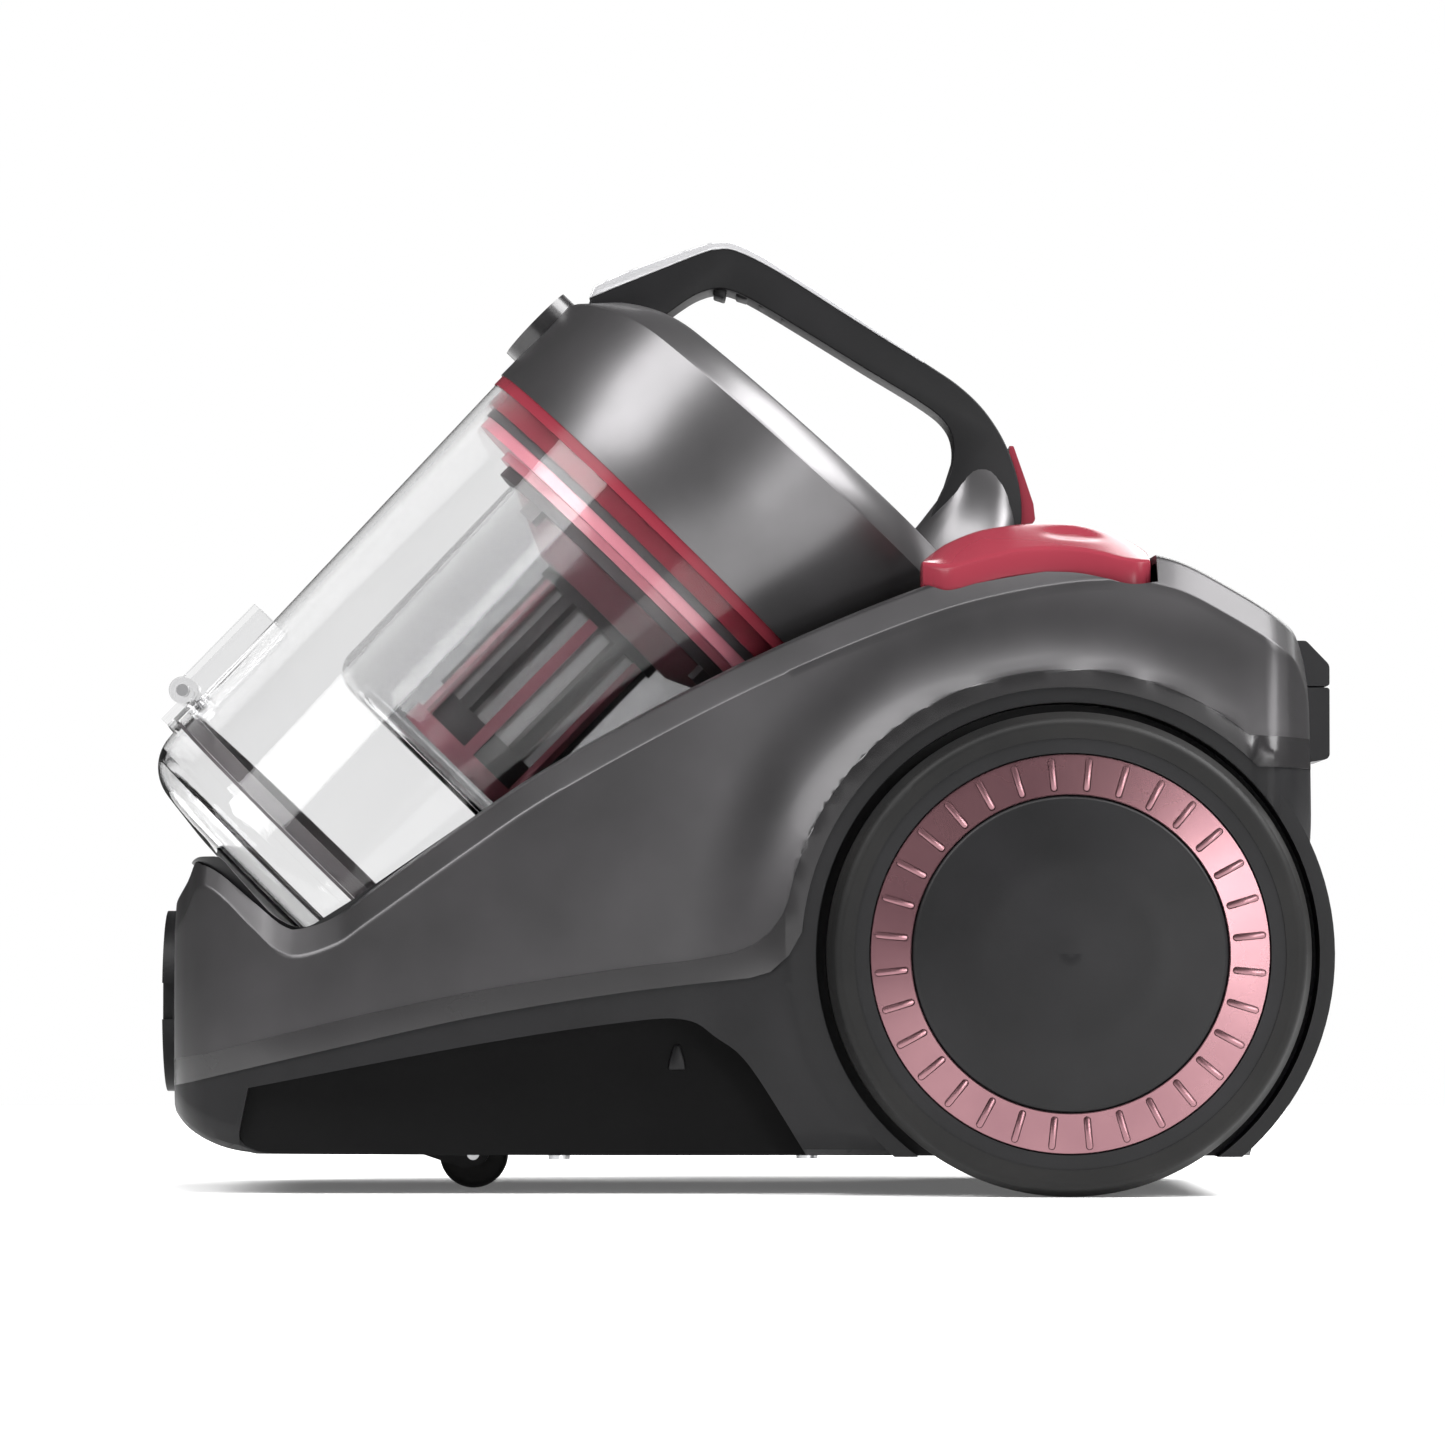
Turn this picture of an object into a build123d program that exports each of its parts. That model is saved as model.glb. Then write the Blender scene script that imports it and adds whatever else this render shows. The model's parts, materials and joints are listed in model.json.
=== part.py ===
from build123d import *

import os
from math import cos, radians, sin, sqrt

# Canister vacuum cleaner, millimetres, +Z up. The hose inlet faces -X, the cord outlet faces +X,
# and the origin is on the floor under the middle of the object.

os.makedirs("parts", exist_ok=True)

# ---- driving dimensions ------------------------------------------------------------------------
wall = 2.5                # thickness of the moulded casings
base_height = 12.5        # underside of the body above the floor
body_half_width = 110.0   # at the wheel arches
rear_x = 181.8
nose_x = -186.0

axle_x = 103.0
wheel_radius = 77.2
arch_radius = 80.4        # opening of the wheel arch
arch_lip = 4.8            # width of the arch lining's visible lip
well_face = 91.5          # distance of the wheel well's flat face from the middle
trim_width = 5.7          # width of the trim band round the arch
axle_radius = 6.0
tyre_face = 127.5         # distance of the tyre's outer face from the middle
slot_count = 32

swivel_x = -112.0
caster_x = -90.0
caster_radius = 11.3
running_gap = 0.05        # radial clearance of a pin in its bore

bin_tilt = 45.6           # angle of the bin's axis above the floor, in degrees
bin_x = -23.3             # middle of the lid's lower edge
bin_z = 214.0
cradle_radius = 84.5
cradle_end = -184.0       # height of the cradle's floor along the bin's axis
cup_top_radius = 80.0
cup_foot_radius = 76.7
cup_foot = -157.0
lid_radius = 81.0
inner_cup_radius = 53.0
hinge_radius = 82.0       # distance of the bottom lid's hinge pin from the bin's axis
hinge_height = -149.0
hinge_pin_radius = 2.0

inlet_z = 62.0
inlet_bore = 17.5
collar_face = -191.9
collar_end = -156.0        # where the collar's tube meets the inlet duct

stem_radius = 5.0
cord_hole_radius = 4.5
cord_z = 155.0
outlet_face = 193.2

motor_x = 84.0
reel_x = 100.0
reel_z = 98.0

# ---- shared frames -----------------------------------------------------------------------------
tilt_cos = cos(radians(bin_tilt))
tilt_sin = sin(radians(bin_tilt))
bin_origin = Vector(bin_x, 0, bin_z)
bin_up = Vector(tilt_cos, 0, tilt_sin)
bin_back = Vector(tilt_sin, 0, -tilt_cos)
bin_axis = Axis(bin_origin, bin_up)
bin_section = Plane(origin=bin_origin, x_dir=bin_back, z_dir=(0, -1, 0))
wheel_axis = Axis((axle_x, 0, wheel_radius), (0, 1, 0))
caster_axis = Axis((caster_x, 0, caster_radius), (0, 1, 0))
swivel_axis = Axis((swivel_x, 0, 0), (0, 0, 1))
motor_axis = Axis((motor_x, 0, 0), (0, 0, 1))
reel_axis = Axis((reel_x, 0, reel_z), (0, 1, 0))
motor_section = Plane(origin=(motor_x, 0, 0), x_dir=(1, 0, 0), z_dir=(0, -1, 0))
swivel_section = Plane(origin=(swivel_x, 0, 0), x_dir=(1, 0, 0), z_dir=(0, -1, 0))


def across(height):
    """Plane square to the bin's axis, its x running to the back and down."""
    return Plane(origin=bin_origin + bin_up * height, x_dir=bin_back, z_dir=bin_up)


def crosswise(x, z, side):
    """Plane whose x runs along the body and whose y runs outwards on one side."""
    return Plane(origin=(x, 0, z), x_dir=(1, 0, 0), z_dir=(0, 0, side))


def facing(x, z, y, side):
    """Plane that faces outwards on one side, at a distance from the middle."""
    return Plane(origin=(x, side * y, z), x_dir=(1, 0, 0), z_dir=(0, side, 0))


def outline(plane, *corners):
    """Closed straight-sided profile."""
    with BuildSketch(plane) as profile:
        with BuildLine():
            Polyline(*corners, close=True)
        make_face()
    return profile.sketch


def rounded(plane, inset, *corners):
    """Closed profile of corners given as x, y and the radius of the arc there."""
    points = [(x, y) for x, y, radius in corners]
    with BuildSketch(plane) as profile:
        with BuildLine():
            FilletPolyline(*points, radius=[radius for x, y, radius in corners], close=True)
        make_face()
        if inset:
            offset(amount=-inset)
    return profile.sketch


def tube(plane, radius, bore=0.0, x=0.0, y=0.0):
    """Round profile, with a bore where one is given."""
    with BuildSketch(plane) as profile:
        with Locations((x, y)):
            Circle(radius)
            if bore:
                Circle(bore, mode=Mode.SUBTRACT)
    return profile.sketch


def block(low, high):
    """Profile and depth of an axis-aligned box, as a solid."""
    with BuildPart() as box:
        with BuildSketch(Plane.XY.offset(low[2])):
            with Locations(((low[0] + high[0]) / 2, (low[1] + high[1]) / 2)):
                Rectangle(high[0] - low[0], high[1] - low[1])
        extrude(amount=high[2] - low[2])
    return box.part


def save(piece, name):
    """Label one finished piece and write its STEP file."""
    piece.part.label = name
    export_step(piece.part, f"parts/{name}.step")


# ---- the body's outer form, and the hollows cut into it ----------------------------------------
def side_view(inset):
    """The body from the side, with the saddle-shaped rim that the bin drops into."""
    return rounded(
        Plane.XZ, inset,
        (nose_x, 26, 9), (-161, base_height, 20), (148, base_height, 30), (172, 60, 60),
        (rear_x, 110, 30), (rear_x, 168, 10), (174, 184, 12), (136, 205, 40), (111, 209, 40),
        (80, 203.5, 60), (22, 181.6, 120), (-62.8, 138.8, 150), (-126, 95.2, 20), (-143, 84.5, 9),
        (-153, 90, 20), (-170, 109, 5), (-180, 109, 6), (nose_x, 94, 6),
    )


def plan_view(inset):
    """The body from above: a blunt nose that widens to the wheel arches."""
    # a little longer than the side view, so that no two flat ends coincide
    front = nose_x + inset - 1
    rear = rear_x - inset + 1
    half = body_half_width - inset
    near_side = [
        (front, half - 44, 30), (front + 26, half - 18, 40), (-60, half - 6, 120), (60, half, 150),
        (rear - 21.8, half, 12), (rear, half - 22, 14),
    ]
    far_side = [(x, -y, radius) for x, y, radius in reversed(near_side)]
    return rounded(Plane.XY, 0, *near_side, *far_side)


def body_form(inset):
    with BuildPart() as form:
        extrude(side_view(inset), amount=2 * body_half_width, both=True)
        extrude(plan_view(inset), amount=400, both=True, mode=Mode.INTERSECT)
    return form.part


def cradle_form(thickness):
    """The round space that the bin lies in, made larger by a wall thickness."""
    radius = cradle_radius + thickness
    floor = cradle_end - thickness
    with BuildPart() as form:
        with BuildSketch(bin_section) as half:
            with BuildLine():
                Polyline((0, 130), (radius, 130), (radius, -140), (radius - 1, floor),
                         (0, floor), close=True)
            make_face()
            fillet(half.vertices().group_by(Axis.Y)[0].sort_by(Axis.X)[-1:], radius=19 + thickness)
        revolve(axis=bin_axis)
    return form.part


def wheel_form(side, radius, face):
    with BuildPart() as form:
        with BuildSketch(facing(axle_x, wheel_radius, face, side)):
            Circle(radius)
        extrude(amount=60)
    return form.part


def pedal_form(side, clearance, drop):
    """Wedge of the pedal's outline, or of its pocket when a clearance and a drop are given."""
    outer = 104 + clearance
    inner = 58 - clearance
    with BuildPart() as form:
        extrude(
            outline(
                Plane.XZ.offset(-side * inner),
                (66.4 - clearance, 191 - drop), (99.7, 196 - drop), (131 + clearance, 190 - drop),
                (131 + clearance, 201 + drop), (99.5, 216 + drop), (79, 208 + drop),
                (66.4 - clearance, 194 + drop),
            ),
            amount=-side * (outer - inner),
        )
    return form.part


arch_outer = arch_radius + arch_lip
hose_hole_radius = 21.0
port_x = -38.0
port_z = 120.0
port_radius = 14.0
lid_port_height = 24.0
caster_pocket_radius = 36.0
caster_ceiling = 25.0

outer_form = body_form(0)
inner_form = body_form(wall)
cradle_outside = cradle_form(wall)
cradle_inside = cradle_form(0)

with BuildPart() as caster_pocket:
    with BuildSketch(Plane.XY):
        with Locations((swivel_x, 0)):
            Circle(caster_pocket_radius)
    extrude(amount=caster_ceiling)

with BuildPart() as shell:
    add(outer_form)
    add(inner_form, mode=Mode.SUBTRACT)
    add(cradle_outside, mode=Mode.SUBTRACT)
    for side in (-1, 1):
        add(wheel_form(side, arch_outer, well_face - wall), mode=Mode.SUBTRACT)
        add(pedal_form(side, 4, 8), mode=Mode.SUBTRACT)
    # hole in the nose for the hose collar
    extrude(tube(Plane.YZ.offset(-200), hose_hole_radius, y=inlet_z), amount=30, mode=Mode.SUBTRACT)

# ---- upper housing, trim band and lower housing ------------------------------------------------
band_low = [(-200, 31), (-179.2, 36), (-86.3, 57.2), (1.4, 69.6), (14, 77), (20, 87)]
band_high = [(-200, 39), (-173, 45.4), (-86.3, 65.3), (-19, 75), (1.4, 80), (9, 87)]
rear_band_low = [(178.5, 137), (200, 134)]
rear_band_high = [(178.5, 146), (200, 144)]


def below(line, radius, rear_line):
    """Everything under a parting line and inside the circle round the wheel, seen from the side."""
    with BuildPart() as region:
        extrude(
            outline(Plane.XZ, *line, (40, 87), (150, 120), *rear_line, (200, -20), (-200, -20)),
            amount=200, both=True,
        )
        extrude(tube(Plane.XZ, radius, x=axle_x, y=wheel_radius), amount=200, both=True)
    return region.part


# joints between the flanks, nose, deck and rear panel that the upper shell is put together from
panel_joint = 0.1
flank_joints = [
    block((-200, side * 84, -20), (200, side * (84 + panel_joint), 260)) for side in (-1, 1)
]
cross_joints = [block((x, -130, -20), (x + panel_joint, 130, 260)) for x in (-150, 152)]

lower_region = below(band_low, arch_outer, rear_band_low)
band_region = below(band_high, arch_outer + trim_width, rear_band_high)

grille_window = block((150, -46, 70), (200, 46, 125))
screw_spots = [(x, side * y) for x, y in ((-60, 80), (20, 70), (140, 60)) for side in (-1, 1)]
screw_radius = 1.75

with BuildPart() as upper_housing:
    add(shell.part)
    add(band_region, mode=Mode.SUBTRACT)
    for side in (-1, 1):
        # tray that the foot pedal sinks into
        add(pedal_form(side, 4, 8))
        add(pedal_form(side, 1.5, 5.5), mode=Mode.SUBTRACT)
    add(outer_form, mode=Mode.INTERSECT)
    add(flank_joints + cross_joints, mode=Mode.SUBTRACT)
    # hole in the rear wall for the power cord
    extrude(tube(Plane.YZ.offset(150), cord_hole_radius, y=cord_z), amount=50, mode=Mode.SUBTRACT)
save(upper_housing, "upper_housing")

with BuildPart() as trim_band:
    add(shell.part)
    add(band_region, mode=Mode.INTERSECT)
    add(lower_region, mode=Mode.SUBTRACT)
    add(flank_joints, mode=Mode.SUBTRACT)
save(trim_band, "trim_band")

with BuildPart() as lower_housing:
    add(shell.part)
    add(lower_region, mode=Mode.INTERSECT)
    extrude(tube(Plane.XY.offset(base_height), caster_pocket_radius + wall, x=swivel_x),
            amount=caster_ceiling + wall - base_height)
    # boss that the caster's stem turns in
    extrude(tube(Plane.XY.offset(caster_ceiling), 9, x=swivel_x), amount=13)
    add(cradle_outside, mode=Mode.SUBTRACT)
    add(caster_pocket.part, mode=Mode.SUBTRACT)
    extrude(tube(Plane.XY, stem_radius + running_gap, x=swivel_x), amount=60, mode=Mode.SUBTRACT)
    for x, y in screw_spots:
        extrude(tube(Plane.XY, screw_radius, x=x, y=y), amount=40, mode=Mode.SUBTRACT)
    add(grille_window, mode=Mode.SUBTRACT)
save(lower_housing, "lower_housing")

with BuildPart() as exhaust_grille:
    add(shell.part)
    add(lower_region, mode=Mode.INTERSECT)
    add(grille_window, mode=Mode.INTERSECT)
    slots = [block((140, -40, 74 + 6 * row), (200, 40, 77 + 6 * row)) for row in range(8)]
    add(slots, mode=Mode.SUBTRACT)
save(exhaust_grille, "exhaust_grille")

with BuildPart() as base_screws:
    for x, y in screw_spots:
        extrude(tube(Plane.XY.offset(base_height - 1.3), 3.5, x=x, y=y), amount=1.3)
        extrude(tube(Plane.XY.offset(base_height), screw_radius, x=x, y=y), amount=5)
save(base_screws, "base_screws")

with BuildPart() as wheel_wells:
    for side in (-1, 1):
        revolve(
            outline(
                crosswise(axle_x, wheel_radius, side),
                (axle_radius, well_face - wall), (arch_outer, well_face - wall),
                (arch_outer, body_half_width), (arch_radius, body_half_width),
                (arch_radius, well_face), (axle_radius, well_face),
            ),
            axis=wheel_axis,
        )
    add(cradle_outside, mode=Mode.SUBTRACT)
    add(block((-200, -200, -20), (400, 200, base_height)), mode=Mode.SUBTRACT)
save(wheel_wells, "wheel_wells")

seal_width = 4.0
inlet_port = tube(Plane.XZ.offset(-10), port_radius + seal_width, x=port_x, y=port_z)
lid_port_plane = Plane(
    origin=bin_origin + bin_up * lid_port_height, x_dir=(0, 1, 0), z_dir=bin_back
)
lid_port_radius = 16.0

with BuildPart() as bin_cradle:
    add(cradle_outside)
    add(cradle_inside, mode=Mode.SUBTRACT)
    add(outer_form, mode=Mode.INTERSECT)
    extrude(inlet_port, amount=-90, mode=Mode.SUBTRACT)
    extrude(tube(lid_port_plane, lid_port_radius + 3), amount=120, mode=Mode.SUBTRACT)
save(bin_cradle, "bin_cradle")

# ---- air path: hose collar, inlet duct, seals, intake duct and exhaust filter --------------------
with BuildPart() as hose_collar:
    front_flange = Plane.YZ.offset(collar_face)
    extrude(tube(front_flange, 30, inlet_bore, y=inlet_z), amount=nose_x - collar_face)
    extrude(tube(front_flange, 20.5, inlet_bore, y=inlet_z), amount=collar_end - collar_face)
    # two bayonet notches that take the hose's lugs
    for turn in (0, 180):
        with BuildSketch(front_flange) as notch:
            with Locations((0, inlet_z)):
                with PolarLocations(27.5, 1, start_angle=turn):
                    Rectangle(5.2, 12)
        extrude(amount=3.5, mode=Mode.SUBTRACT)
save(hose_collar, "hose_collar")

with BuildPart() as inlet_duct:
    elbow = [(collar_end, 38), (-120, 38), (-120, 45.5), (collar_end, 80)]
    elbow_inside = [(-153.5, 40), (-122, 40), (-122, 44), (-153.5, 74)]
    extrude(outline(Plane.XZ.offset(20), *elbow), amount=-88)
    add(block((-140, 66, 18), (-24, 88, 42)))
    add(block((-54, 74, 18), (-22, 98, 140)))
    extrude(tube(Plane.XZ.offset(-10), port_radius + 5, x=port_x, y=port_z), amount=-66)
    add(cradle_outside, mode=Mode.SUBTRACT)
    extrude(outline(Plane.XZ.offset(18), *elbow_inside), amount=-104, mode=Mode.SUBTRACT)
    add(block((-138, 68, 20), (-26, 86, 40)), mode=Mode.SUBTRACT)
    add(block((-52, 76, 20), (-24, 96, 138)), mode=Mode.SUBTRACT)
    extrude(tube(Plane.XZ.offset(-10), port_radius, x=port_x, y=port_z), amount=-70,
            mode=Mode.SUBTRACT)
    extrude(tube(Plane.YZ.offset(-160), 14, y=58), amount=10, mode=Mode.SUBTRACT)
save(inlet_duct, "inlet_duct")


def bin_cylinder(radius, low, high):
    with BuildPart() as form:
        extrude(tube(across(low), radius), amount=high - low)
    return form.part


cup_clear = 0.6
lid_clear = 1.0             # leaves room for the latch to pass as the bin is lifted
with BuildPart() as bin_port_seals:
    extrude(tube(Plane.XZ.offset(-10), port_radius + seal_width, port_radius, x=port_x, y=port_z),
            amount=-70)
    extrude(tube(lid_port_plane, lid_port_radius + 3, lid_port_radius), amount=120)
    add(cradle_outside, mode=Mode.INTERSECT)
    add(bin_cylinder(cup_top_radius + cup_clear, -200, 0), mode=Mode.SUBTRACT)
    add(bin_cylinder(lid_radius + lid_clear, 0, 80), mode=Mode.SUBTRACT)
save(bin_port_seals, "bin_port_seals")

chamber_low = 140.0
with BuildPart() as intake_duct:
    extrude(tube(lid_port_plane, lid_port_radius + 4), amount=112)
    add(block((64, -20, chamber_low), (104, 20, 166)))
    add(cradle_outside, mode=Mode.SUBTRACT)
    add(block((66.5, -17.5, chamber_low + wall), (101.5, 17.5, 163.5)), mode=Mode.SUBTRACT)
    extrude(tube(lid_port_plane, lid_port_radius), amount=108, mode=Mode.SUBTRACT)
    extrude(tube(Plane.XY.offset(100), lid_port_radius, x=motor_x), amount=50, mode=Mode.SUBTRACT)
save(intake_duct, "intake_duct")

with BuildPart() as exhaust_filter:
    add(block((150, -52, 62), (164, 52, 130)))
    pleats = [block((162, -48, 66 + 5 * fold), (166, 48, 68.5 + 5 * fold)) for fold in range(12)]
    add(pleats, mode=Mode.SUBTRACT)
save(exhaust_filter, "exhaust_filter")

# ---- motor ---------------------------------------------------------------------------------------
motor_shaft = 4.0
with BuildPart() as motor_housing:
    revolve(outline(motor_section, (20, 30), (55, 30), (55, 128), (52.5, 128), (52.5, 32.5),
                    (20, 32.5)), axis=motor_axis)
save(motor_housing, "motor_housing")

with BuildPart() as motor_cover:
    revolve(outline(motor_section, (lid_port_radius, 128), (55, 128), (55, 131),
                    (lid_port_radius + wall, 131), (lid_port_radius + wall, chamber_low),
                    (lid_port_radius, chamber_low)), axis=motor_axis)
save(motor_cover, "motor_cover")

with BuildPart() as motor_frame:
    revolve(outline(motor_section, (11, 44), (42, 44), (42, 104), (52.4, 104), (52.4, 109),
                    (11, 109), (11, 103.5), (40, 103.5), (40, 51), (11, 51)), axis=motor_axis)
save(motor_frame, "motor_frame")

with BuildPart() as motor_mounts:
    extrude(tube(Plane.XY.offset(109), 52.4, 46, x=motor_x), amount=19)
    extrude(tube(Plane.XY.offset(32.5), 42, 30, x=motor_x), amount=11.5)
save(motor_mounts, "motor_mounts")

with BuildPart() as stator:
    extrude(tube(Plane.XY.offset(58), 40, 21, x=motor_x), amount=42)
save(stator, "stator")

with BuildPart() as motor_bearings:
    for low in (44.5, 103.5):
        extrude(tube(Plane.XY.offset(low), 11, motor_shaft + running_gap, x=motor_x), amount=5.5)
save(motor_bearings, "motor_bearings")

with BuildPart() as rotor:
    extrude(tube(Plane.XY.offset(42), motor_shaft, x=motor_x), amount=82)
    extrude(tube(Plane.XY.offset(58), 20, x=motor_x), amount=42)
save(rotor, "rotor")

with BuildPart() as impeller:
    extrude(tube(Plane.XY.offset(112), 42, motor_shaft, x=motor_x), amount=1.5)
    extrude(tube(Plane.XY.offset(112), 9, motor_shaft, x=motor_x), amount=11)
    with BuildSketch(Plane.XY.offset(112)) as blades:
        with Locations((motor_x, 0)):
            with PolarLocations(24, 9):
                Rectangle(34, 1.2, rotation=25)
    extrude(amount=9)
    extrude(tube(Plane.XY.offset(105), motor_shaft, x=motor_x), amount=30, mode=Mode.SUBTRACT)
    extrude(tube(Plane.XY.offset(119), 42, 16, x=motor_x), amount=1.5)
save(impeller, "impeller")

# ---- electrics and cord reel ---------------------------------------------------------------------
with BuildPart() as control_board:
    add(block((50, -84, 112), (130, -82, 158)))
    for x, z, wide, high, deep in ((62, 124, 14, 14, 12), (84, 140, 20, 10, 8), (112, 128, 18, 22, 14)):
        add(block((x - wide / 2, -82, z - high / 2), (x + wide / 2, -82 + deep, z + high / 2)))
    # power switch under the left pedal
    add(block((92, -88, 150), (108, -74, 178)))
    add(block((97, -84, 178), (103, -78, 181)))
save(control_board, "control_board")


reel_section = crosswise(reel_x, reel_z, 1)
with BuildPart() as reel_bracket:
    extrude(tube(Plane.XZ.offset(-55.5), 20, x=reel_x, y=reel_z), amount=-2.5)
    add(block((reel_x - 10, 55.5, 15), (reel_x + 10, 58, reel_z)))
    # spindle that the drum turns on
    extrude(tube(Plane.XZ.offset(-58), 6, x=reel_x, y=reel_z), amount=-25)
save(reel_bracket, "reel_bracket")

with BuildPart() as reel_drum:
    bore = 6 + running_gap
    revolve(outline(reel_section, (bore, 60), (60, 60), (60, 62), (26, 62), (26, 80), (60, 80),
                    (60, 82), (23.5, 82), (23.5, 62.5), (9, 62.5), (9, 82), (bore, 82)),
            axis=reel_axis)
save(reel_drum, "reel_drum")


with BuildPart() as cord_outlet_housing:
    extrude(rounded(Plane.XZ.offset(-26), 0, (rear_x, 140, 0), (outlet_face, 142, 2),
                    (outlet_face, 165.5, 1), (rear_x, 165.5, 0)), amount=52)
    extrude(tube(Plane.YZ.offset(150), cord_hole_radius, y=cord_z), amount=50, mode=Mode.SUBTRACT)
save(cord_outlet_housing, "cord_outlet_housing")

with BuildPart() as cord_outlet_cover:
    extrude(rounded(Plane.XZ.offset(-26), 0, (rear_x, 166, 0), (outlet_face, 166, 1),
                    (outlet_face, 173, 3), (185.5, 181, 2), (rear_x, 181, 0)), amount=52)
save(cord_outlet_cover, "cord_outlet_cover")

# ---- foot pedals ---------------------------------------------------------------------------------
for side, hand in ((-1, "left"), (1, "right")):
    with BuildPart() as pedal:
        add(pedal_form(side, 0, 0))
    save(pedal, f"pedal_{hand}")

with BuildPart() as pedal_springs:
    for side in (-1, 1):
        extrude(tube(Plane.XY.offset(190.6), 5, 3.5, x=99.7, y=side * 81), amount=4.4)
save(pedal_springs, "pedal_springs")

# ---- rear wheels ---------------------------------------------------------------------------------
with BuildPart() as wheel_axles:
    for side in (-1, 1):
        revolve(
            outline(
                crosswise(axle_x, wheel_radius, side),
                (0, 84), (12, 84), (12, well_face - wall), (axle_radius, well_face - wall),
                (axle_radius, 125), (4.5, 125), (4.5, 126.2), (axle_radius, 126.2),
                (axle_radius, 127.2), (0, 127.2),
            ),
            axis=wheel_axis,
        )
save(wheel_axles, "wheel_axles")

ring_inner = 50.4
ring_outer = 63.6
hub_bore = axle_radius + running_gap
for side, hand in ((-1, "left"), (1, "right")):
    wheel_section = crosswise(axle_x, wheel_radius, side)
    with BuildPart() as wheel_rim:
        revolve(
            outline(
                wheel_section,
                (hub_bore, 93), (13, 93), (13, 117.5), (62, 117.5), (62, 96), (68.5, 96),
                (68.5, 127), (63.8, 127), (63.8, 121.8), (9.5, 121.8), (9.5, 124.8), (hub_bore, 124.8),
            ),
            axis=wheel_axis,
        )
        # three pads that the translucent ring is clipped to
        with BuildSketch(facing(axle_x, wheel_radius, 121.8, side)):
            with PolarLocations(54, 3, start_angle=30):
                Rectangle(6, 10)
        extrude(amount=2.2)
        # domed centre disc
        revolve(
            rounded(
                wheel_section, 0,
                (0, 129.5, 0), (46, 126.5, 0), (46, 121.8, 0), (50.2, 121.8, 0), (50.2, 128.6, 1.5),
                (30, 132, 60), (0, 133, 0),
            ),
            axis=wheel_axis,
        )
    save(wheel_rim, f"wheel_rim_{hand}")

    with BuildPart() as tyre:
        revolve(
            rounded(
                wheel_section, 0,
                (68.5, 96, 0), (wheel_radius, 96, 4), (wheel_radius, 119, 8), (74.5, tyre_face, 3),
                (68.5, tyre_face, 0),
            ),
            axis=wheel_axis,
        )
    save(tyre, f"tyre_{hand}")

    with BuildPart() as wheel_ring:
        face = facing(axle_x, wheel_radius, 124, side)
        extrude(tube(face, ring_outer, ring_inner), amount=4.5)
        with BuildSketch(face):
            with PolarLocations((ring_inner + ring_outer) / 2, slot_count):
                SlotOverall(9, 1.8)
        extrude(amount=4.5, mode=Mode.SUBTRACT)
    save(wheel_ring, f"wheel_ring_{hand}")


# ---- caster --------------------------------------------------------------------------------------
with BuildPart() as caster_fork:
    extrude(tube(Plane.XY.offset(21), 14, x=swivel_x), amount=3.5)
    extrude(tube(Plane.XY.offset(24.5), stem_radius, x=swivel_x), amount=4)
    arm = [(-127, 18, 0), (-126, 21.5, 0), (-98, 22, 3), (-85, 15, 3), (-84, 8.5, 5), (-93, 6.5, 4)]
    for side in (-1, 1):
        extrude(rounded(Plane.XZ.offset(side * 8.75), 0, *arm), amount=1.25, both=True)
    extrude(tube(Plane.XZ, 2, x=caster_x, y=caster_radius), amount=30, both=True,
            mode=Mode.SUBTRACT)
save(caster_fork, "caster_fork")

with BuildPart() as caster_axle:
    extrude(tube(Plane.XZ, 2, x=caster_x, y=caster_radius), amount=11, both=True)
save(caster_axle, "caster_axle")

with BuildPart() as caster_wheel:
    revolve(
        rounded(
            crosswise(caster_x, caster_radius, 1), 0,
            (2 + running_gap, -7, 0), (caster_radius, -7, 2.5), (caster_radius, 7, 2.5),
            (2 + running_gap, 7, 0),
        ),
        axis=caster_axis,
    )
save(caster_wheel, "caster_wheel")

# ---- bin: cup, bottom lid and latch --------------------------------------------------------------
cup_wall = 2.3
ear_radius = 4.5


def hinge_strap(low, high, reach_low, reach_high, inner, outer):
    """Ear round the hinge pin with a strap that reaches along the cup, between two y planes."""
    with BuildPart() as strap:
        with BuildSketch(bin_section.offset(low)):
            with Locations((-hinge_radius, hinge_height)):
                Circle(ear_radius)
            with Locations((-(outer + inner) / 2, (reach_low + reach_high) / 2)):
                Rectangle(outer - inner, reach_high - reach_low)
        extrude(amount=high - low)
    return strap.part


def hinge_bore(radius):
    with BuildPart() as bore:
        with BuildSketch(bin_section):
            with Locations((-hinge_radius, hinge_height)):
                Circle(radius)
        extrude(amount=60, both=True)
    return bore.part


cup_top = -3.8
latch_x = 79.6
latch_z = -146.0
latch_pin_radius = 1.0
with BuildPart() as dust_cup:
    revolve(outline(bin_section, (0, cup_top), (cup_top_radius, cup_top),
                    (cup_foot_radius, cup_foot), (0, cup_foot)), axis=bin_axis)
    for low in (-20, 12):
        add(hinge_strap(low, low + 8, -149, -112, 76, 85))
    # lugs that carry the latch
    for low in (-12.2, 9.8):
        with BuildSketch(bin_section.offset(low)):
            with Locations((77.9, latch_z)):
                Rectangle(6, 9)
        extrude(amount=2.4)
    revolve(outline(bin_section, (0, cup_top), (cup_top_radius - cup_wall, cup_top),
                    (cup_foot_radius - cup_wall, cup_foot), (0, cup_foot)), axis=bin_axis,
            mode=Mode.SUBTRACT)
    add(hinge_bore(hinge_pin_radius), mode=Mode.SUBTRACT)
    with BuildSketch(bin_section):
        with Locations((latch_x, latch_z)):
            Circle(latch_pin_radius)
    extrude(amount=20, both=True, mode=Mode.SUBTRACT)
    extrude(tube(Plane.XZ.offset(-10), port_radius, x=port_x, y=port_z), amount=-80,
            mode=Mode.SUBTRACT)
save(dust_cup, "dust_cup")

with BuildPart() as hinge_pin:
    with BuildSketch(bin_section):
        with Locations((-hinge_radius, hinge_height)):
            Circle(hinge_pin_radius)
    extrude(amount=20.5, both=True)
save(hinge_pin, "hinge_pin")

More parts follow.
